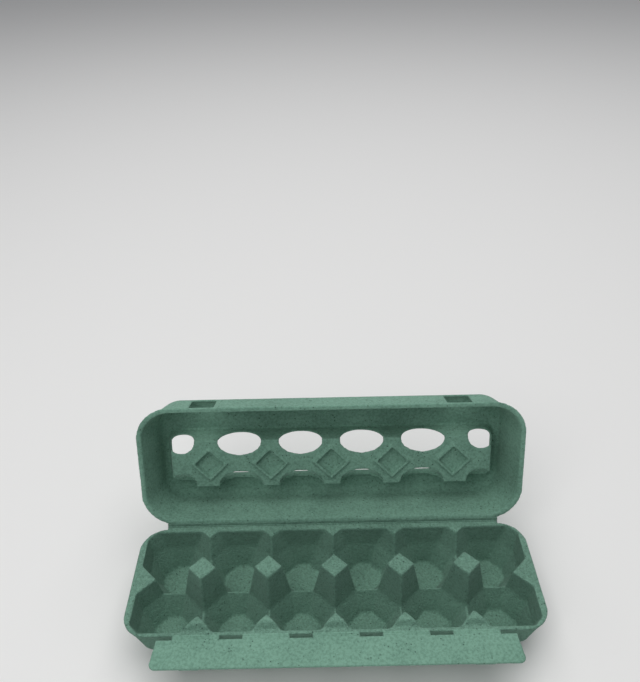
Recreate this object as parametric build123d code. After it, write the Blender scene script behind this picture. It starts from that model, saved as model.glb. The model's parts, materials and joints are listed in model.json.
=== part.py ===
from build123d import *
import os
from math import cos, radians, sin, sqrt

# Moulded-pulp carton for twelve eggs: a tray of drafted cups, a lid with a sunken viewing beam and a
# lock flap, joined by two living hinges. X runs along the carton, +Y points to the lid hinge, Z up.
# Everything is drawn closed and level about the tray's middle, then posed and shifted at the end.

# ---------------------------------------------------------------- driving dimensions, mm and degrees
COLUMNS = 6              # cells along the carton, in two rows
PITCH_X = 48.4           # cell spacing along the carton
PITCH_Y = 45.0           # spacing of the front and rear rows
WALL = 2.2               # pulp thickness of the tray and flap
LID_WALL = 1.8           # pulp thickness of the lid, thinner so that it stands open without tipping
TRAY_HEIGHT = 37.0       # foot of a cup to the top of the rim
END_LAND = 4.8           # rim left flat outside the end cells
REAR_LAND = 4.7          # rim left flat between the cells and the lid's crease
FRONT_LAND = 4.2         # rim left flat between the cells and the flap's crease
CELL_REACH = 20.8        # cell centre to the cavity's outer edge at the rim, front and rear
END_REACH = 23.8         # cell centre to the cavity's edge at the rim, at the tray's ends
FLOOR_HALF = 13.5        # half the flat floor of a cup, across its short sides
FLOOR_DIAG = 12.5        # the same across its long, slanting sides
BELLY_OUT = 19.6         # cavity half width at the ridge height, towards the rim
BELLY_END = 21.3         # the same towards the tray's ends
BELLY_DIAG = 21.5        # the same towards the posts
BELLY_CORNER = 21.8      # the same on the rear and outer slants
REAR_SLANT = 32.2        # rear slants at the posts' height, leaving small webs at the rim
CORNER_SLANT = 31.0      # slants at the tray's four round corners, same height
SIDE_SPREAD = (6.0, 5.5) # how far a cavity's inner sides lean past the cell, along and across
RIDGE_Z = 19.5           # height of the low ridges between neighbouring cups
POST_RISE = 13.0         # centre posts above the rim
POST_HALF = 10.0         # half diagonal of a post's flat top
STUB_RISE = 4.5          # front half-posts above the rim
STUB_HALF = 8.5          # half width of a front half-post at most
STUB_FRONT = 4.0         # foot of the front half-posts' sloping face, in from the fold
STUB_SLOPE = 4.0         # run of that face
TRAY_CORNER_FRONT = 18.0
TRAY_CORNER_REAR = 20.0

LID_OVERHANG = 6.5       # lid's front edge past the flap's fold
LID_HEIGHT = 36.8        # lid rim to its top
LID_LIP = 2.2            # flange outside the lid's wall
LID_DRAFT_END = 10.0     # how far the end walls lean in
LID_DRAFT_SIDE = 4.2     # how far the front and rear walls lean in
LID_CORNER_RIM = 25.0
LID_CORNER_TOP = 20.0
LID_EDGE = 8.0           # rounding of the lid's top edge
BEAM_TOP_END = 19.0      # lid's end to the trough's end, at the lid's top
BEAM_FLOOR_END = 25.0    # the same at the beam's floor
BEAM_TOP_SIDE = 19.2     # half width of the trough at the lid's top
BEAM_FLOOR_SIDE = 18.2   # the same at the beam's floor
POCKET_DEPTH = 2.7       # pocket under a pad, which takes a post's top
POCKET_HALF = 11.9       # half diagonal of a pocket's mouth
POCKET_TOP_HALF = 10.9
PAD_TOP_HALF = 10.8      # half diagonal of the raised pad over a pocket
PAD_FOOT_HALF = 13.5
POST_ENTRY = 1.2         # how far a post stands inside its pocket's collar when shut
COLLAR_DROP = 2.2        # raised collar round a pocket's mouth, below the beam
COLLAR_HALF = 15.4       # half diagonal of a collar at the beam
WINDOW_SIZE = (17.0, 9.5)         # half axes of a window's oval, along the beam and across it
END_WINDOW_SIZE = (10.5, 8.0)     # the same for the last window at either end
END_WINDOW_IN = 6.0      # beam floor's end to the middle of the last window
WINDOW_TILT = 55.9       # the oval's axis, down from level

FLAP_REACH = 22.5        # fold axis to the flap's free edge
FLAP_END = 26.0          # tray's end to the flap's end, at the fold
FLAP_FLARE = 2.2         # how much longer each end of the flap's free edge is
FLAP_CORNER = 4.0
SLIT_LENGTH = 16.0       # slit in the fold at each column, to let it bend
BUTTON_END = 50.0        # tray's end to a button's middle
BUTTON_SIZE = (16.4, 9.5)         # along the carton and along the flap, at its foot
BUTTON_TIP = (14.2, 6.8)
BUTTON_RISE = 6.2
BUTTON_OUT = 15.75       # fold axis to the button's middle
LATCH_GAP = 1.05         # room beside a button in its hole
LATCH_SILL = 0.45        # room under a shut button in its hole
FLAP_SHUT = 96.0         # flap turned up from level when the carton is shut
LATCH_TALL = 20.5        # height of a latch hole

HINGE_END = 19.0         # tray's end to the end of the lid's living hinge
FOLD_GAP = 0.35          # room round a crease bead over its whole turn
RIM_GAP = 0.3            # lid rim above the tray rim when shut
LID_OPEN = 108.3         # rest pose: lid standing open by this much
FLAP_UP = 0.0            # rest pose: flap lying level, clear of the closing lid

# ------------------------------------------------------------------------------- sizes that follow
length = COLUMNS * PITCH_X + 2 * END_LAND
columns = [(i - (COLUMNS - 1) / 2) * PITCH_X for i in range(COLUMNS)]
boundaries = [(i + 1 - COLUMNS / 2) * PITCH_X for i in range(COLUMNS - 1)]
post_top = TRAY_HEIGHT + POST_RISE
rim_under = TRAY_HEIGHT - WALL
post_foot = RIDGE_Z + 5.0           # posts are their own nodes above this height

hinge_y = PITCH_Y / 2 + CELL_REACH + REAR_LAND
hinge_z = TRAY_HEIGHT + RIM_GAP / 2
hinge_bead = 1.25
fold_y = -(PITCH_Y / 2 + CELL_REACH + FRONT_LAND)
fold_z = TRAY_HEIGHT - WALL / 2
fold_bead = WALL / 2
tray_rear = hinge_y - hinge_bead - FOLD_GAP
tray_front = fold_y + fold_bead

lid_rim = TRAY_HEIGHT + RIM_GAP
lid_top = lid_rim + LID_HEIGHT
lid_rear = tray_rear
lid_front = fold_y - LID_OVERHANG
pocket_mouth = post_top - POST_ENTRY
beam_under = pocket_mouth + COLLAR_DROP
pocket_top = beam_under + POCKET_DEPTH
beam_floor = beam_under + LID_WALL
beam_top_half = (length / 2 - BEAM_TOP_END, BEAM_TOP_SIDE)
beam_floor_half = (length / 2 - BEAM_FLOOR_END, BEAM_FLOOR_SIDE)
end_window_x = beam_floor_half[0] - END_WINDOW_IN
hinge_half = length / 2 - HINGE_END
flap_root_half = length / 2 - FLAP_END
flap_free_half = flap_root_half + FLAP_FLARE
button_x = length / 2 - BUTTON_END
shut = radians(FLAP_SHUT)
button_low = fold_z + (BUTTON_OUT - BUTTON_SIZE[1] / 2) * sin(shut) - WALL / 2 * cos(shut)
latch_bottom = button_low - LATCH_SILL
post_block = POST_HALF + 9.0        # half width of the stock a post is cut from
post_zone = POST_HALF + 8.0         # half diagonal of the plan a post's node takes in


# ------------------------------------------------------------------------------------ basic shapes
def box(x_span, y_span, z_span):
    """A block between two corners."""
    size = [b - a for a, b in (x_span, y_span, z_span)]
    middle = [(a + b) / 2 for a, b in (x_span, y_span, z_span)]
    return Pos(*middle) * Box(*size)


def eight_sided(x, y, z, reach):
    """Corners of an eight-sided outline; reach holds its sides' distances, east first, turning left."""
    corners = []
    for k in range(8):
        a, b = radians(45 * k), radians(45 * (k + 1))
        d, e = reach[k], reach[(k + 1) % 8]
        corners.append(Vector(x + (d * sin(b) - e * sin(a)) / sin(b - a),
                              y + (e * cos(a) - d * cos(b)) / sin(b - a), z))
    return corners


def diamond(x, y, z, half):
    """Corners of a square standing on its corner."""
    return [Vector(x + half, y, z), Vector(x, y + half, z), Vector(x - half, y, z), Vector(x, y - half, z)]


def faceted(rings):
    """A closed solid through rings of corners, lowest first, with flat sides."""
    faces = [Face(Wire.make_polygon(rings[0])), Face(Wire.make_polygon(rings[-1]))]
    for low, high in zip(rings, rings[1:]):
        for k in range(len(low)):
            n = (k + 1) % len(low)
            faces.append(Face(Wire.make_polygon([low[k], low[n], high[n], high[k]])))
    return Solid(Shell(faces))


def drafted(x_span, y_span, corner, z_low, grow, corner_high, z_high):
    """A rounded block whose spans grow by (x, y) on each side from its lower to its upper end."""
    sections = []
    for z, gx, gy, r in ((z_low, 0, 0, corner), (z_high, grow[0], grow[1], corner_high)):
        width = x_span[1] - x_span[0] + 2 * gx
        depth = y_span[1] - y_span[0] + 2 * gy
        middle = Pos(sum(x_span) / 2, sum(y_span) / 2, z)
        sections.append(middle * RectangleRounded(width, depth, r))
    return loft(sections, ruled=True)


# -------------------------------------------------------------------------------------------- tray
def cell_form(column, row, skin):
    """The cavity of one cell, from its floor up, or with skin > 0 the cup's outside."""
    x, y = columns[column], row * PITCH_Y / 2
    east_end, west_end = column == COLUMNS - 1, column == 0
    top = post_top + 1.0
    climb = (top - TRAY_HEIGHT) / (TRAY_HEIGHT - RIDGE_Z)
    post_reach = ((PITCH_X + PITCH_Y) / 2 - POST_HALF) / sqrt(2)
    post_reach += (post_reach - BELLY_DIAG) / (post_top - RIDGE_Z)

    # Each side as (belly, top) distances; inner sides lean over the ridge into the next cell.
    along = (PITCH_X / 2, PITCH_X / 2 + SIDE_SPREAD[0])
    across = (PITCH_Y / 2, PITCH_Y / 2 + SIDE_SPREAD[1])
    end = (BELLY_END, END_REACH + (END_REACH - BELLY_END) * climb)
    outer = (BELLY_OUT, CELL_REACH + (CELL_REACH - BELLY_OUT) * climb)
    inner_slant = (BELLY_DIAG, post_reach)
    outer_slant = (BELLY_CORNER, REAR_SLANT) if row > 0 else inner_slant
    corner = (BELLY_CORNER, CORNER_SLANT)
    east = end if east_end else along
    west = end if west_end else along
    out_east = corner if east_end else outer_slant
    out_west = corner if west_end else outer_slant
    if row > 0:
        sides = [east, out_east, outer, out_west, west, inner_slant, across, inner_slant]
    else:
        sides = [east, inner_slant, across, inner_slant, west, out_west, outer, out_east]
    floor = [FLOOR_DIAG if k % 2 else FLOOR_HALF for k in range(8)]
    base = 0.0 if skin else WALL
    rings = [(floor, base, skin / 2), ([s[0] for s in sides], RIDGE_Z, skin),
             ([s[1] for s in sides], top, skin)]
    return faceted([eight_sided(x, y, z, [d + grow for d in ring]) for ring, z, grow in rings])


def rounded_outline(front, rear, low, high):
    """The tray's plan between two heights, with its corner radii."""
    plan = make_face(Polyline((-length / 2, front), (length / 2, front), (length / 2, rear),
                              (-length / 2, rear), close=True))
    plan = fillet(plan.vertices().sort_by(Axis.Y)[:2], TRAY_CORNER_FRONT)
    plan = fillet(plan.vertices().sort_by(Axis.Y)[-2:], TRAY_CORNER_REAR)
    return Pos(0, 0, low) * extrude(plan, high - low)


def tray_body(skin):
    """Everything under the tray's upper surface, or with skin > 0 everything under its lower one."""
    low = -1.0 if skin else 0.0
    body = rounded_outline(tray_front, tray_rear, low, TRAY_HEIGHT - skin)
    for x in boundaries:
        body += box((x - post_block, x + post_block), (-post_block, post_block), (RIDGE_Z, post_top - skin))
        foot = fold_y + STUB_FRONT + skin
        side = [(foot, RIDGE_Z), (foot, TRAY_HEIGHT - skin),
                (foot + STUB_SLOPE, TRAY_HEIGHT + STUB_RISE - skin),
                (-PITCH_Y / 2 - 3.5, TRAY_HEIGHT + STUB_RISE - skin), (-PITCH_Y / 2 - 3.5, RIDGE_Z)]
        profile = Plane.YZ * make_face(Polyline(*side, close=True))
        body += Pos(x, 0, 0) * extrude(profile, STUB_HALF - skin / 2, both=True)
    cells = [cell_form(i, row, skin) for i in range(COLUMNS) for row in (-1, 1)]
    return body - cells


tray = tray_body(0) - tray_body(WALL)
post_zones = [faceted([diamond(x, 0, post_foot, post_zone), diamond(x, 0, post_top + 1, post_zone)])
              for x in boundaries]

nodes = {}
for k, zone in enumerate(post_zones):
    nodes[f"centre_post_{k + 1}"] = tray & zone
remainder = tray - post_zones
far = length
nodes["tray_rim"] = remainder & box((-far, far), (-far, far), (rim_under, far))
below = remainder & box((-far, far), (-far, far), (-far, rim_under))
for i, x in enumerate(columns):
    west = -far if i == 0 else x - PITCH_X / 2
    east = far if i == COLUMNS - 1 else x + PITCH_X / 2
    nodes[f"egg_cup_front_{i + 1}"] = below & box((west, east), (-far, 0), (-far, far))
    nodes[f"egg_cup_rear_{i + 1}"] = below & box((west, east), (0, far), (-far, far))

# The creases: a slim bead on each hinge axis, held by the tray. The flap's bead is slit at each column.
bead = Pos(0, hinge_y, hinge_z) * Rot(0, 90, 0) * Cylinder(hinge_bead, 2 * hinge_half)
web = box((-hinge_half, hinge_half), (tray_rear, hinge_y), (rim_under, TRAY_HEIGHT))
nodes["lid_hinge"] = bead + web
fold = Pos(0, fold_y, fold_z) * Rot(0, 90, 0) * Cylinder(fold_bead, 2 * flap_root_half)
fold += box((-flap_root_half, flap_root_half), (fold_y, tray_front), (rim_under, TRAY_HEIGHT))
slits = [box((x - SLIT_LENGTH / 2, x + SLIT_LENGTH / 2), (fold_y - 5, tray_front), (0, far)) for x in columns]
nodes["flap_hinge"] = fold - slits


# --------------------------------------------------------------------------------------------- lid
def lid_form(inset, top, edge):
    """The lid's outside, or with an inset its inside, closed at the given height."""
    x_half = length / 2 - LID_LIP - inset
    y_span = (lid_front + LID_LIP + inset, lid_rear - LID_LIP - inset)
    form = drafted((-x_half, x_half), y_span, LID_CORNER_RIM - inset, lid_rim,
                   (-LID_DRAFT_END, -LID_DRAFT_SIDE), LID_CORNER_TOP - inset, top)
    return fillet(form.edges().group_by(Axis.Z)[-1], edge)


def trough_form(skin, low, high):
    """The trough sunk in the lid's top, or with skin > 0 its outside as seen from below."""
    grow = [t - f for t, f in zip(beam_top_half, beam_floor_half)]
    x_half, y_half = (f + skin for f in beam_floor_half)
    return drafted((-x_half, x_half), (-y_half, y_half), 4.0 + skin, low, grow, 5.0 + skin, high)


def window(x, size, side):
    """An oval cutter laid across the corner between the beam's floor and its side wall."""
    lean = radians(WINDOW_TILT)
    plane = Plane(origin=(x, side * beam_floor_half[1], beam_floor), x_dir=(1, 0, 0),
                  z_dir=(0, side * cos(lean), -sin(lean)))
    return extrude(plane * Ellipse(*size), 22.0, both=True)


flange = Pos(0, (lid_front + lid_rear) / 2, lid_rim) * extrude(
    RectangleRounded(length, lid_rear - lid_front, LID_CORNER_RIM + LID_LIP), LID_WALL)
inside = lid_form(LID_WALL, lid_top - LID_WALL, LID_EDGE - LID_WALL)
lid = lid_form(0, lid_top, LID_EDGE) + flange - inside - trough_form(LID_WALL, beam_under, lid_top)

beam = trough_form(LID_WALL, beam_under, lid_top) - trough_form(0, beam_floor, lid_top)
for x in boundaries:
    beam += faceted([diamond(x, 0, beam_floor - LID_WALL / 2, PAD_FOOT_HALF),
                     diamond(x, 0, pocket_top + LID_WALL, PAD_TOP_HALF)])
    beam += faceted([diamond(x, 0, pocket_mouth, COLLAR_HALF - COLLAR_DROP / 2),
                     diamond(x, 0, beam_under + LID_WALL / 2, COLLAR_HALF)])
for i, x in enumerate(columns):
    at_end = i in (0, COLUMNS - 1)
    place = (end_window_x if x > 0 else -end_window_x) if at_end else x
    for side in (-1, 1):
        beam -= window(place, END_WINDOW_SIZE if at_end else WINDOW_SIZE, side)
for x in boundaries:
    beam -= faceted([diamond(x, 0, pocket_mouth, POCKET_HALF), diamond(x, 0, pocket_top, POCKET_TOP_HALF)])

# ---------------------------------------------------------------------------------------- lock flap
flap_near = fold_y - fold_bead - FOLD_GAP
flap_far = fold_y - FLAP_REACH
plan = make_face(Polyline((-flap_root_half, flap_near), (-flap_free_half, flap_far),
                          (flap_free_half, flap_far), (flap_root_half, flap_near), close=True))
plan = fillet(plan.vertices().sort_by(Axis.Y)[:2], FLAP_CORNER)
flap = Pos(0, 0, rim_under) * extrude(plan, WALL)


def button(x):
    """A lock button standing on the flap's outer face, which is its underside while it lies open."""
    place = Pos(x, fold_y - BUTTON_OUT, rim_under)
    return place * loft([Rectangle(*BUTTON_SIZE), Pos(0, 0, -BUTTON_RISE) * Rectangle(*BUTTON_TIP)])


buttons = {"lock_button_left": button(-button_x), "lock_button_right": button(button_x)}
for x in (-button_x, button_x):
    half = BUTTON_SIZE[0] / 2 + LATCH_GAP
    hole_span = (latch_bottom, latch_bottom + LATCH_TALL)
    lid -= box((x - half, x + half), (lid_front - 5, lid_front + 12), hole_span)

# ------------------------------------------------------------------------ pose, shift and write out
hinge_axis = Axis((0, hinge_y, hinge_z), (1, 0, 0))
fold_axis = Axis((0, fold_y, fold_z), (1, 0, 0))
nodes["lid_shell"] = lid.rotate(hinge_axis, -LID_OPEN)
nodes["viewing_beam"] = beam.rotate(hinge_axis, -LID_OPEN)
nodes["lock_flap_panel"] = flap.rotate(fold_axis, -FLAP_UP)
for name, solid in buttons.items():
    nodes[name] = solid.rotate(fold_axis, -FLAP_UP)

spans = [shape.bounding_box() for shape in nodes.values()]
middle_y = (min(s.min.Y for s in spans) + max(s.max.Y for s in spans)) / 2
os.makedirs("parts", exist_ok=True)
for name, shape in nodes.items():
    export_step(Pos(0, -middle_y, 0) * shape, f"parts/{name}.step")
print(f"origin shift {-middle_y:.4f}")
print(f"lid hinge at y {hinge_y - middle_y:.4f} z {hinge_z:.4f}")
print(f"flap fold at y {fold_y - middle_y:.4f} z {fold_z:.4f}")
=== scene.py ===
"""Looks for a moulded-pulp egg carton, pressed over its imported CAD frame.

The carton is one moulding. Each section's CAD nodes are fused into a continuous skin, softened as
pulp drawn off a mesh mould is, roughened, and then parted again into the carton's named pieces.
"""

import json
import logging
import math
from dataclasses import dataclass, field
from enum import Enum

import bmesh
import bpy
import numpy as np
from mathutils import Matrix, Vector


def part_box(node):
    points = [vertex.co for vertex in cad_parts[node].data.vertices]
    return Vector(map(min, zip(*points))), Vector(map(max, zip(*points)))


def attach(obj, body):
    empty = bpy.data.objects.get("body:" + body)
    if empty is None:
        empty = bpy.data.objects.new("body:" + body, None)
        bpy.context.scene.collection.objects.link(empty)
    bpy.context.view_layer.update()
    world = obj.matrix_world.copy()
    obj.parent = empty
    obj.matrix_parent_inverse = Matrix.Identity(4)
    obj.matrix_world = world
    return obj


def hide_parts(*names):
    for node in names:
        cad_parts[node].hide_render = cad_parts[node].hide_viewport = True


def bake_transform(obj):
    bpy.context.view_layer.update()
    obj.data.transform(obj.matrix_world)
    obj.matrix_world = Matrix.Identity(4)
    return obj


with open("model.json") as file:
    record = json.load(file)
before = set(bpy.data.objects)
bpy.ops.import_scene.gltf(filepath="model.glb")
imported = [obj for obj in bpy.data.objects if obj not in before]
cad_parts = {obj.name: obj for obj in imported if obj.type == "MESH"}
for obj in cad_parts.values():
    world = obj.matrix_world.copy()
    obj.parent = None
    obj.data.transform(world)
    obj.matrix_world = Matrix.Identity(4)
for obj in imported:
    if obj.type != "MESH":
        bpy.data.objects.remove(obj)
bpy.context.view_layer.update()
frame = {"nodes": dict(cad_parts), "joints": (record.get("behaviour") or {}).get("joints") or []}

LOG = logging.getLogger("egg_carton")
MM = 0.001
CREASE_ABOVE_RIM = 0.15 * MM
MIX_UNDER, MIX_OVER, MIX_RESULT = 6, 7, 2


class Section(Enum):
    """The three sections that fold against each other, by the name of their CAD body."""

    TRAY = "tray"
    LID = "lid"
    FLAP = "lock_flap"


def joint(name: str) -> dict:
    """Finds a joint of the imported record.

    Args:
        name: The joint's name.

    Returns:
        Its entry, with pos_m, axis and range_deg.
    """
    return next(j for j in frame["joints"] if j["name"] == name)


def middle(node: str) -> Vector:
    """Gives the middle of a CAD node's box, in metres.

    Args:
        node: The CAD node's name.

    Returns:
        The box's middle.
    """
    low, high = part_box(node)
    return (Vector(low) + Vector(high)) / 2


POST_LINE = middle("centre_post_3").y
RIM_TOP = joint("lid_hinge_joint")["pos_m"][2] - CREASE_ABOVE_RIM
COLUMN_EDGES = [middle(f"centre_post_{k}").x for k in range(1, 6)]


# ----------------------------------------------------------------------------------- finishes
@dataclass(frozen=True)
class PulpFinish:
    """Grey-green recycled pulp: short fibres, specks of darker paper, and mould marks in relief."""

    name: str
    shade: tuple[float, float, float] = (0.212, 0.395, 0.300)
    deep: tuple[float, float, float] = (0.100, 0.208, 0.155)
    speck: tuple[float, float, float] = (0.022, 0.050, 0.037)
    chaff: tuple[float, float, float] = (0.330, 0.520, 0.420)
    lean: float = 0.0
    ripple: float = 0.30
    shadow: float = 0.30
    painted_wall_shade: float = 0.0
    roughness: float = 0.94

    def material(self) -> bpy.types.Material:
        """Builds the pulp as a node material.

        Returns:
            The material, with its colour and relief from noise in the object's own space.
        """
        made = bpy.data.materials.new(self.name)
        made.use_nodes = True
        tree = made.node_tree
        shader = tree.nodes["Principled BSDF"]
        shader.inputs["Roughness"].default_value = self.roughness
        shader.inputs["Specular IOR Level"].default_value = 0.18
        shader.inputs["Sheen Weight"].default_value = 0.08
        place = self._node(tree, "ShaderNodeTexCoord").outputs["Object"]
        turn = self._node(tree, "ShaderNodeMapping", Rotation=(math.radians(self.lean), 0.0, 0.0))
        tree.links.new(place, turn.inputs["Vector"])
        here = turn.outputs["Vector"]

        cloud = self._noise(tree, here, 26.0, 3.0, 0.55)
        fibre = self._noise(tree, here, 520.0, 8.0, 0.72)
        hairs = self._hairs(tree, here)
        body = self._blend(tree, cloud, self.deep, self.shade, 0.16, 0.56)
        fibres = self._blend(tree, fibre, self.deep, self.shade, 0.40, 0.56)
        base = self._mix(tree, body, fibres, 0.55)
        base = self._over(tree, base, self.chaff, self._ramp(tree, hairs, 0.66, 0.74), 0.42)
        base = self._over(tree, base, self.speck, self._specks(tree, here, 330.0, 0.15, 0.5), 0.80)
        base = self._over(tree, base, self.speck, self._specks(tree, here, 120.0, 0.08, 0.6), 0.75)
        wave = self._node(tree, "ShaderNodeTexWave", Scale=150.0, Distortion=22.0, Detail=5.0)
        wave.bands_direction = "Z"
        wave.inputs["Detail Scale"].default_value = 1.7
        tree.links.new(here, wave.inputs["Vector"])
        hollows = self._ramp(tree, wave.outputs["Fac"], 0.34, 0.04)
        base = self._over(tree, base, self.speck, hollows, self.shadow * self.ripple)
        # painted shade: steep faces are darkened towards the deep colour, as if less lit than floors
        # and rims
        if self.painted_wall_shade:
            base = self._over(tree, base, self.deep, self._steep(tree), self.painted_wall_shade)
        tree.links.new(base, shader.inputs["Base Color"])

        coarse = self._noise(tree, here, 190.0, 4.0, 0.6)
        relief = self._bump(tree, wave.outputs["Fac"], self.ripple, 0.60 * MM, None)
        relief = self._bump(tree, coarse, 0.80, 0.90 * MM, relief)
        relief = self._bump(tree, fibre, 0.85, 0.45 * MM, relief)
        relief = self._bump(tree, hairs, 0.30, 0.15 * MM, relief)
        tree.links.new(relief, shader.inputs["Normal"])
        return made

    @staticmethod
    def _node(tree: bpy.types.NodeTree, kind: str, **values: object) -> bpy.types.Node:
        """Adds a node and sets its sockets by name.

        Args:
            tree: The material's tree.
            kind: The node's type.
            **values: Socket values.

        Returns:
            The node.
        """
        node = tree.nodes.new(kind)
        for socket, value in values.items():
            node.inputs[socket].default_value = value
        return node

    def _noise(
        self,
        tree: bpy.types.NodeTree,
        here: bpy.types.NodeSocket,
        scale: float,
        detail: float,
        rough: float,
    ) -> bpy.types.NodeSocket:
        """Adds a cloud of noise.

        Args:
            tree: The material's tree.
            here: Where on the piece.
            scale: Features to the metre.
            detail: Octaves.
            rough: How strong the finer octaves are.

        Returns:
            Its strength, 0 to 1.
        """
        node = self._node(tree, "ShaderNodeTexNoise", Scale=scale, Detail=detail, Roughness=rough)
        tree.links.new(here, node.inputs["Vector"])
        return node.outputs["Fac"]

    def _hairs(self, tree: bpy.types.NodeTree, here: bpy.types.NodeSocket) -> bpy.types.NodeSocket:
        """Adds long thin fibres, lying mostly along the carton.

        Args:
            tree: The material's tree.
            here: Where on the piece.

        Returns:
            Their strength, 0 to 1.
        """
        draw = self._node(tree, "ShaderNodeMapping", Scale=(0.28, 1.0, 1.0), Rotation=(0.2, 0.5, 0.6))
        tree.links.new(here, draw.inputs["Vector"])
        return self._noise(tree, draw.outputs["Vector"], 900.0, 4.0, 0.6)

    def _specks(
        self,
        tree: bpy.types.NodeTree,
        here: bpy.types.NodeSocket,
        scale: float,
        reach: float,
        thin: float,
    ) -> bpy.types.NodeSocket:
        """Adds scattered specks, fewer where a second noise is weak.

        Args:
            tree: The material's tree.
            here: Where on the piece.
            scale: Possible specks to the metre.
            reach: A speck's size as a share of its spacing.
            thin: The noise level below which specks are left out.

        Returns:
            Where the specks are, 0 to 1.
        """
        cells = self._node(tree, "ShaderNodeTexVoronoi", Scale=scale)
        tree.links.new(here, cells.inputs["Vector"])
        dots = self._ramp(tree, cells.outputs["Distance"], reach * 1.6, reach * 0.6)
        patch = self._ramp(tree, self._noise(tree, here, scale * 0.45, 2.0, 0.5), thin, thin + 0.06)
        both = tree.nodes.new("ShaderNodeMath")
        both.operation = "MULTIPLY"
        tree.links.new(dots, both.inputs[0])
        tree.links.new(patch, both.inputs[1])
        return both.outputs[0]

    def _steep(self, tree: bpy.types.NodeTree) -> bpy.types.NodeSocket:
        """Marks steep faces, which are darkened with painted shade, as if less lit than floors and
        rims.

        Args:
            tree: The material's tree.

        Returns:
            1 on a steep wall, 0 on a floor or a flat rim.
        """
        facing = self._node(tree, "ShaderNodeSeparateXYZ")
        tree.links.new(self._node(tree, "ShaderNodeTexCoord").outputs["Normal"], facing.inputs[0])
        level = tree.nodes.new("ShaderNodeMath")
        level.operation = "ABSOLUTE"
        tree.links.new(facing.outputs["Z"], level.inputs[0])
        return self._ramp(tree, level.outputs[0], 0.88, 0.45)

    def _ramp(
        self, tree: bpy.types.NodeTree, value: bpy.types.NodeSocket, low: float, high: float
    ) -> bpy.types.NodeSocket:
        """Stretches a value so that low gives 0 and high gives 1.

        Args:
            tree: The material's tree.
            value: The value.
            low: What gives 0.
            high: What gives 1.

        Returns:
            The stretched value.
        """
        span = self._node(tree, "ShaderNodeMapRange")
        span.inputs["From Min"].default_value = low
        span.inputs["From Max"].default_value = high
        tree.links.new(value, span.inputs["Value"])
        return span.outputs["Result"]

    def _blend(
        self,
        tree: bpy.types.NodeTree,
        value: bpy.types.NodeSocket,
        first: tuple[float, float, float],
        second: tuple[float, float, float],
        low: float,
        high: float,
    ) -> bpy.types.NodeSocket:
        """Runs between two colours as a value goes from low to high.

        Args:
            tree: The material's tree.
            value: The value.
            first: The colour at low.
            second: The colour at high.
            low: The lower value.
            high: The higher value.

        Returns:
            The colour.
        """
        ramp = tree.nodes.new("ShaderNodeValToRGB")
        ramp.color_ramp.elements[0].position = low
        ramp.color_ramp.elements[0].color = (*first, 1.0)
        ramp.color_ramp.elements[1].position = high
        ramp.color_ramp.elements[1].color = (*second, 1.0)
        tree.links.new(value, ramp.inputs["Fac"])
        return ramp.outputs["Color"]

    @staticmethod
    def _mix(
        tree: bpy.types.NodeTree, under: bpy.types.NodeSocket, over: bpy.types.NodeSocket, share: float
    ) -> bpy.types.NodeSocket:
        """Mixes two colours evenly over the piece.

        Args:
            tree: The material's tree.
            under: The first colour.
            over: The second colour.
            share: The second one's share.

        Returns:
            The mixed colour.
        """
        mix = tree.nodes.new("ShaderNodeMix")
        mix.data_type = "RGBA"
        mix.inputs[0].default_value = share
        tree.links.new(under, mix.inputs[MIX_UNDER])
        tree.links.new(over, mix.inputs[MIX_OVER])
        return mix.outputs[MIX_RESULT]

    @staticmethod
    def _over(
        tree: bpy.types.NodeTree,
        under: bpy.types.NodeSocket,
        colour: tuple[float, float, float],
        where: bpy.types.NodeSocket,
        most: float,
    ) -> bpy.types.NodeSocket:
        """Lays a colour over another where a mask says.

        Args:
            tree: The material's tree.
            under: The colour below.
            colour: The colour laid over it.
            where: The mask, 0 to 1.
            most: How much shows where the mask is 1.

        Returns:
            The colour.
        """
        part = tree.nodes.new("ShaderNodeMath")
        part.operation = "MULTIPLY"
        part.inputs[1].default_value = most
        tree.links.new(where, part.inputs[0])
        mix = tree.nodes.new("ShaderNodeMix")
        mix.data_type = "RGBA"
        mix.inputs[MIX_OVER].default_value = (*colour, 1.0)
        tree.links.new(part.outputs[0], mix.inputs[0])
        tree.links.new(under, mix.inputs[MIX_UNDER])
        return mix.outputs[MIX_RESULT]

    @staticmethod
    def _bump(
        tree: bpy.types.NodeTree,
        height: bpy.types.NodeSocket,
        strength: float,
        distance: float,
        below: bpy.types.NodeSocket | None,
    ) -> bpy.types.NodeSocket:
        """Adds relief on top of what relief there is.

        Args:
            tree: The material's tree.
            height: The height, 0 to 1.
            strength: How strongly it shows.
            distance: Its depth in metres.
            below: The relief under it, or None.

        Returns:
            The surface direction.
        """
        bump = tree.nodes.new("ShaderNodeBump")
        bump.inputs["Strength"].default_value = strength
        bump.inputs["Distance"].default_value = distance
        tree.links.new(height, bump.inputs["Height"])
        if below is not None:
            tree.links.new(below, bump.inputs["Normal"])
        return bump.outputs["Normal"]


@dataclass(frozen=True)
class StudioFinish:
    """The pale, matt ground the carton stands on."""

    name: str = "pale_ground"
    shade: tuple[float, float, float] = (0.86, 0.855, 0.84)

    def material(self) -> bpy.types.Material:
        """Builds the ground's material.

        Returns:
            A plain matt material.
        """
        made = bpy.data.materials.new(self.name)
        made.use_nodes = True
        shader = made.node_tree.nodes["Principled BSDF"]
        shader.inputs["Roughness"].default_value = 0.9
        shader.inputs["Base Color"].default_value = (*self.shade, 1.0)
        return made


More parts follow.
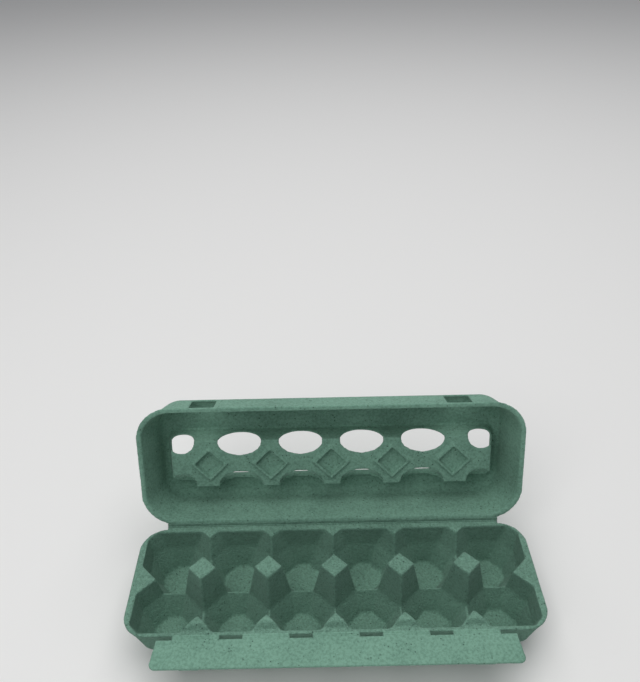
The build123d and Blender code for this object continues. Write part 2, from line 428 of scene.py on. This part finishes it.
# ------------------------------------------------------------------------------ pressing the pulp
@dataclass
class Unevenness:
    """Smooth, repeatable noise at points in space."""

    seed: int = 11
    cells: int = 32
    lattice: np.ndarray = field(init=False)

    def __post_init__(self) -> None:
        """Draws the noise's lattice from its seed."""
        self.lattice = np.random.default_rng(self.seed).uniform(-1, 1, (self.cells,) * 3)

    def at(self, points: np.ndarray, grain: float) -> np.ndarray:
        """Reads the noise.

        Args:
            points: Points, in metres.
            grain: The size of a feature, in metres.

        Returns:
            A value for each point, -1 to 1.
        """
        spot = points / grain
        cell = np.floor(spot).astype(int)
        part = spot - cell
        part = part * part * (3 - 2 * part)
        total = np.zeros(len(points))
        for corner in np.ndindex(2, 2, 2):
            step = np.array(corner)
            weight = np.prod(np.where(step == 1, part, 1 - part), axis=1)
            at = (cell + step) % self.cells
            total += weight * self.lattice[at[:, 0], at[:, 1], at[:, 2]]
        return total


@dataclass
class PulpSkin:
    """A closed skin of four-sided faces, as arrays."""

    points: np.ndarray
    faces: np.ndarray
    noise: Unevenness = field(default_factory=Unevenness)
    shrink: float = 0.50
    swell_back: float = -0.52
    flat_bend: float = 0.05 * MM
    edge_bend: float = 0.14 * MM

    def pull(self) -> np.ndarray:
        """Gives each point's offset to the mean of its neighbours.

        Returns:
            One offset for each point.
        """
        ends = np.concatenate([self.faces[:, [k, (k + 1) % 4]] for k in range(4)])
        count = np.bincount(ends.ravel(), minlength=len(self.points))
        mean = np.empty_like(self.points)
        for axis in range(3):
            here = self.points[:, axis]
            mean[:, axis] = np.bincount(ends[:, 0], here[ends[:, 1]], len(here))
            mean[:, axis] += np.bincount(ends[:, 1], here[ends[:, 0]], len(here))
        return mean / np.maximum(count, 1)[:, None] - self.points

    def normals(self) -> np.ndarray:
        """Gives each point's outward direction.

        Returns:
            One unit vector for each point.
        """
        corners = self.points[self.faces]
        flat = np.cross(corners[:, 2] - corners[:, 0], corners[:, 3] - corners[:, 1])
        total = np.zeros_like(self.points)
        for axis in range(3):
            for k in range(4):
                total[:, axis] += np.bincount(self.faces[:, k], flat[:, axis], len(total))
        return total / np.maximum(np.linalg.norm(total, axis=1), 1e-12)[:, None]

    def soften(self, passes: int) -> None:
        """Rounds the edges without thinning the sheet.

        Args:
            passes: How many times to smooth and swell back.
        """
        for _ in range(passes):
            for step in (self.shrink, self.swell_back):
                self.points = self.points + step * self.pull()

    def weather(self, dents: float, ragged: float) -> None:
        """Presses shallow dents into the skin and frays its edges, always inwards.

        Args:
            dents: The depth of the deepest dent, in metres.
            ragged: How far an edge frays, in metres.
        """
        out = self.normals()
        bend = np.linalg.norm(self.pull(), axis=1)
        edge = np.clip((bend - self.flat_bend) / self.edge_bend, 0, 1)
        broad = self.noise.at(self.points, 7 * MM)
        swell = 0.6 * broad + 0.4 * self.noise.at(self.points + 0.5, 2.6 * MM)
        torn = self.noise.at(self.points + 0.2, 3.4 * MM)
        fray = 0.5 * torn + 0.5 * self.noise.at(self.points, 1.7 * MM)
        depth = dents * (0.5 + 0.5 * swell) + ragged * edge * (0.4 + 0.6 * fray).clip(0)
        self.points = self.points - out * depth[:, None]

    def part(self, name: str, chosen: np.ndarray) -> bpy.types.Object:
        """Makes one piece of the skin, shaded as part of the whole.

        Args:
            name: The piece's name.
            chosen: Which faces it has.

        Returns:
            The piece.
        """
        used, faces = np.unique(self.faces[chosen], return_inverse=True)
        mesh = bpy.data.meshes.new(name)
        mesh.from_pydata(self.points[used].tolist(), [], faces.reshape(-1, 4).tolist())
        mesh.shade_smooth()
        mesh.normals_split_custom_set_from_vertices(self.normals()[used].tolist())
        piece = bpy.data.objects.new(name, mesh)
        bpy.context.scene.collection.objects.link(piece)
        return piece


@dataclass
class Moulding:
    """A section of the carton: its CAD nodes fused, softened, weathered and parted into pieces."""

    section: Section
    nodes: list[str]
    finish: PulpFinish
    voxel: float = 0.9
    passes: int = 22
    dents: float = 0.16
    ragged: float = 0.34

    def fused(self) -> PulpSkin:
        """Fuses the CAD nodes into one skin.

        Returns:
            The skin, before softening.
        """
        stock = bmesh.new()
        for node in self.nodes:
            stock.from_mesh(frame["nodes"][node].data)
        mesh = bpy.data.meshes.new("stock")
        stock.to_mesh(mesh)
        stock.free()
        blank = bpy.data.objects.new("stock", mesh)
        bpy.context.scene.collection.objects.link(blank)
        remesh = blank.modifiers.new("fuse", "REMESH")
        remesh.mode = "VOXEL"
        remesh.voxel_size = self.voxel * MM
        state = bpy.context.evaluated_depsgraph_get()
        whole = bpy.data.meshes.new_from_object(blank.evaluated_get(state))
        bpy.data.objects.remove(blank)
        points = np.empty(len(whole.vertices) * 3)
        whole.vertices.foreach_get("co", points)
        corners = np.empty(len(whole.loops), dtype=np.int32)
        whole.loops.foreach_get("vertex_index", corners)
        return PulpSkin(points.reshape(-1, 3), corners.reshape(-1, 4))

    def region(self, at: np.ndarray) -> np.ndarray:
        """Says which CAD node each face belongs to.

        Args:
            at: The faces' middles.

        Returns:
            The node's number in self.nodes for each face.
        """
        return np.zeros(len(at), dtype=int)

    def build(self) -> list[bpy.types.Object]:
        """Presses the section and dresses its pieces.

        Returns:
            The pieces.
        """
        skin = self.fused()
        skin.soften(self.passes)
        skin.weather(self.dents * MM, self.ragged * MM)
        owner = self.region(skin.points[skin.faces].mean(axis=1))
        pieces = [
            self.dress(skin.part(f"pulp_{node}", owner == k), node)
            for k, node in enumerate(self.nodes)
            if (owner == k).any()
        ]
        missing = [node for k, node in enumerate(self.nodes) if not (owner == k).any()]
        if missing:
            raise ValueError(f"{self.section.value}: no faces fell to {missing}")
        return pieces

    def dress(self, piece: bpy.types.Object, node: str) -> bpy.types.Object:
        """Gives a piece its pulp and stands it in for its CAD node.

        Args:
            piece: The piece.
            node: The CAD node it replaces.

        Returns:
            The piece.
        """
        made = bpy.data.materials.get(self.finish.name) or self.finish.material()
        piece.data.materials.append(made)
        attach(piece, self.section.value)
        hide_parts(node)
        return piece


@dataclass
class Tray(Moulding):
    """Twelve cups, the posts between them and the rim that ties them together."""

    post_reach: float = 18.0
    post_foot: float = 24.5
    rim_under: float = 34.8

    def region(self, at: np.ndarray) -> np.ndarray:
        """Says which cup, post or rim each face belongs to.

        Args:
            at: The faces' middles.

        Returns:
            The node's number for each face.
        """
        number = {node: k for k, node in enumerate(self.nodes)}
        column = np.searchsorted(COLUMN_EDGES, at[:, 0])
        front = np.array([number[f"egg_cup_front_{k + 1}"] for k in range(6)])[column]
        rear = np.array([number[f"egg_cup_rear_{k + 1}"] for k in range(6)])[column]
        owner = np.where(at[:, 1] < POST_LINE, front, rear)
        owner[at[:, 2] > self.rim_under * MM] = number["tray_rim"]
        for k, x in enumerate(COLUMN_EDGES):
            inside = abs(at[:, 0] - x) + abs(at[:, 1] - POST_LINE) < self.post_reach * MM
            owner[inside & (at[:, 2] > self.post_foot * MM)] = number[f"centre_post_{k + 1}"]
        return owner


@dataclass
class Lid(Moulding):
    """The lid's shell and the sunken viewing beam."""

    beam_half: tuple[float, float] = (133.0, 20.6)
    beam_below: float = 35.4

    def region(self, at: np.ndarray) -> np.ndarray:
        """Says whether each face is the shell's or the beam's.

        Args:
            at: The faces' middles.

        Returns:
            The node's number for each face.
        """
        hinge = joint("lid_hinge_joint")
        pivot = np.array(hinge["pos_m"])
        shut = np.array(Matrix.Rotation(math.radians(hinge["range_deg"][1]), 3, "X"))
        level = (at - pivot) @ shut.T + pivot
        inside = (abs(level[:, 0]) < self.beam_half[0] * MM) & (
            abs(level[:, 1] - POST_LINE) < self.beam_half[1] * MM
        )
        inside &= level[:, 2] < pivot[2] + self.beam_below * MM
        return np.where(inside, self.nodes.index("viewing_beam"), self.nodes.index("lid_shell"))


@dataclass
class LockFlap(Moulding):
    """The flap that tucks behind the lid's front wall, and its two buttons."""

    button_reach: float = 9.5

    def region(self, at: np.ndarray) -> np.ndarray:
        """Says whether each face is the panel's or a button's.

        Args:
            at: The faces' middles.

        Returns:
            The node's number for each face.
        """
        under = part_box("lock_flap_panel")[0][2]
        owner = np.full(len(at), self.nodes.index("lock_flap_panel"))
        for node in ("lock_button_left", "lock_button_right"):
            near = abs(at[:, 0] - middle(node).x) < self.button_reach * MM
            owner[near & (at[:, 2] < under)] = self.nodes.index(node)
        return owner


# ------------------------------------------------------------------------------------- the creases
@dataclass
class Crease:
    """A strip of thin pulp that bends between two sections, scored where it folds."""

    name: str
    node: str
    joint_name: str
    far_section: Section
    path: list[tuple[float, float]]
    turn: tuple[int, int]
    spans: list[tuple[float, float]]
    finish: PulpFinish
    thick: float = 1.9
    score: float = 0.7
    scores_at: tuple[float, float] = (0.36, 0.66)
    score_width: float = 0.06
    step: float = 1.2
    samples: int = 28

    def line(self) -> tuple[np.ndarray, np.ndarray, np.ndarray]:
        """Runs a smooth line through the path.

        Returns:
            Its points, its sideways directions and how far along each point is, 0 to 1.
        """
        knots = np.array(self.path) * MM
        padded = np.vstack([2 * knots[0] - knots[1], knots, 2 * knots[-1] - knots[-2]])
        along = np.linspace(0, len(knots) - 1.0001, self.samples)
        k = along.astype(int)
        t = (along - k)[:, None]
        a, b, c, d = padded[k], padded[k + 1], padded[k + 2], padded[k + 3]
        square, cube = 2 * a - 5 * b + 4 * c - d, 3 * b - a - 3 * c + d
        points = 0.5 * (2 * b + (c - a) * t + square * t**2 + cube * t**3)
        ahead = np.gradient(points, axis=0)
        side = np.stack([-ahead[:, 1], ahead[:, 0]], axis=1)
        return points, side / np.linalg.norm(side, axis=1)[:, None], np.linspace(0, 1, self.samples)

    def build(self) -> list[bpy.types.Object]:
        """Makes the strip's lengths as one piece, laid across the joint along its profile.

        Returns:
            The strip, in a list.
        """
        hinge = np.array(joint(self.joint_name)["pos_m"])
        line, side, along = self.line()
        near, far = (np.exp(-(((along - at) / self.score_width) ** 2)) for at in self.scores_at)
        scored = near + far
        half = (self.thick - self.score * scored) / 2 * MM
        ring = np.vstack([line + side * half[:, None], (line - side * half[:, None])[::-1]])
        points, faces = [], []
        for low, high in self.spans:
            steps = max(int((high - low) / (self.step * MM)), 4)
            first = len(points)
            for x in np.linspace(low, high, steps):
                points.extend([x, y + hinge[1], z + hinge[2]] for y, z in ring)
            size = len(ring)
            for i in range(steps - 1):
                for j in range(size):
                    a, b = first + i * size + j, first + i * size + (j + 1) % size
                    faces.append([a, b, b + size, a + size])
            for start, order in ((first, 1), (first + (steps - 1) * size, -1)):
                for j in range(self.samples - 1):
                    a, b = start + j, start + j + 1
                    faces.append([a, start + size - 1 - j, start + size - 2 - j, b][::order])
        skin = PulpSkin(np.array(points), np.array(faces))
        skin.weather(0.10 * MM, 0.20 * MM)
        piece = skin.part(self.name, np.ones(len(faces), dtype=bool))
        piece.data.materials.append(bpy.data.materials.get(self.finish.name) or self.finish.material())
        start, end = (np.array([0.0, *self.path[k]]) * MM + [0, hinge[1], hinge[2]] for k in self.turn)
        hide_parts(self.node)
        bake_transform(piece)
        return [piece]


# -------------------------------------------------------------------------------------- the studio
@dataclass
class Studio:
    """A pale ground, soft lights and a camera looking down over the front of the carton."""

    eye: tuple[float, float, float] = (-7.1, -321.3, 444.3)
    down: float = 35.6
    roll: float = -1.17
    lens: float = 39.4
    ground: StudioFinish = field(default_factory=StudioFinish)

    def build(self) -> None:
        """Sets up the ground, the lights and the camera."""
        mesh = bpy.data.meshes.new("ground")
        mesh.from_pydata([(-4, -4, 0), (4, -4, 0), (4, 4, 0), (-4, 4, 0)], [], [(0, 1, 2, 3)])
        ground = bpy.data.objects.new("ground", mesh)
        bpy.context.scene.collection.objects.link(ground)
        mesh.materials.append(self.ground.material())
        self.lamp("overhead_light", (0.05, 0.45, 1.90), 2.2, 27.0)
        self.lamp("front_light", (-0.50, -0.85, 1.25), 0.9, 6.0)
        world = bpy.data.worlds.new("studio")
        world.use_nodes = True
        world.node_tree.nodes["Background"].inputs["Color"].default_value = (0.93, 0.95, 1.0, 1.0)
        world.node_tree.nodes["Background"].inputs["Strength"].default_value = 0.24
        bpy.context.scene.world = world
        bpy.context.scene.view_settings.view_transform = "Standard"
        self.camera()

    @staticmethod
    def lamp(name: str, at: tuple[float, float, float], size: float, power: float) -> None:
        """Hangs a soft square light, aimed at the carton.

        Args:
            name: The light's name.
            at: Where it hangs, in metres.
            size: The length of its side, in metres.
            power: Its power in watts.
        """
        light = bpy.data.lights.new(name, "AREA")
        light.size = size
        light.energy = power
        lamp = bpy.data.objects.new(name, light)
        lamp.location = at
        lamp.rotation_euler = (Vector((0, 0, 0.05)) - Vector(at)).to_track_quat("-Z", "Y").to_euler()
        bpy.context.scene.collection.objects.link(lamp)

    def camera(self) -> None:
        """Stands the camera over the tray's post line and rim."""
        data = bpy.data.cameras.new("camera")
        data.sensor_fit = "HORIZONTAL"
        data.sensor_width = 36.0
        data.lens = self.lens
        eye = bpy.data.objects.new("camera", data)
        aim = Matrix.Rotation(math.radians(90 - self.down), 4, "X")
        spin = Matrix.Rotation(math.radians(self.roll), 4, "Z")
        place = Vector((self.eye[0] * MM, POST_LINE + self.eye[1] * MM, RIM_TOP + self.eye[2] * MM))
        eye.matrix_world = Matrix.Translation(place) @ aim @ spin
        bpy.context.scene.collection.objects.link(eye)
        bpy.context.scene.camera = eye


def main() -> None:
    """Builds the carton section by section, then the studio."""
    logging.basicConfig(level=logging.INFO, format="%(name)s: %(message)s")
    cups = [f"egg_cup_{row}_{k}" for row in ("front", "rear") for k in range(1, 7)]
    posts = [f"centre_post_{k}" for k in range(1, 6)]
    plain = PulpFinish("pulp_tray", ripple=0.70, painted_wall_shade=0.40)
    turned = PulpFinish("pulp_lid", lean=joint("lid_hinge_joint")["range_deg"][1], ripple=0.18)
    pressed = PulpFinish("pulp_flap", ripple=0.05)

    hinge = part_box("lid_hinge")
    fold_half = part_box("flap_hinge")[1][0] - COLUMN_EDGES[-1]
    lid_crease = Crease(
        "pulp_lid_crease", "lid_hinge", "lid_hinge_joint", Section.LID,
        [(-2.8, -1.25), (-1.6, -1.25), (0.2, -1.0), (1.1, 0.0), (1.50, 1.19), (1.88, 2.33)],
        (1, 4), [(hinge[0][0], hinge[1][0])], plain,
    )
    flap_crease = Crease(
        "pulp_flap_crease", "flap_hinge", "flap_hinge_joint", Section.FLAP,
        [(2.3, 0.0), (1.1, 0.0), (0.0, 0.0), (-1.45, 0.0), (-2.65, 0.0)],
        (1, 3), [(x - fold_half, x + fold_half) for x in COLUMN_EDGES], pressed,
    )
    sections: list[Moulding | Crease] = [
        Tray(Section.TRAY, ["tray_rim", *cups, *posts], plain, passes=70, ragged=0.5),
        Lid(Section.LID, ["lid_shell", "viewing_beam"], turned, voxel=0.9, passes=16, ragged=0.5),
        LockFlap(Section.FLAP, ["lock_flap_panel", "lock_button_left", "lock_button_right"], pressed,
                 voxel=0.8, passes=8),
        lid_crease,
        flap_crease,
    ]
    for section in sections:
        for piece in section.build():
            LOG.info("%s: %d faces", piece.name, len(piece.data.polygons))
    Studio().build()


if __name__ == "__main__":
    main()
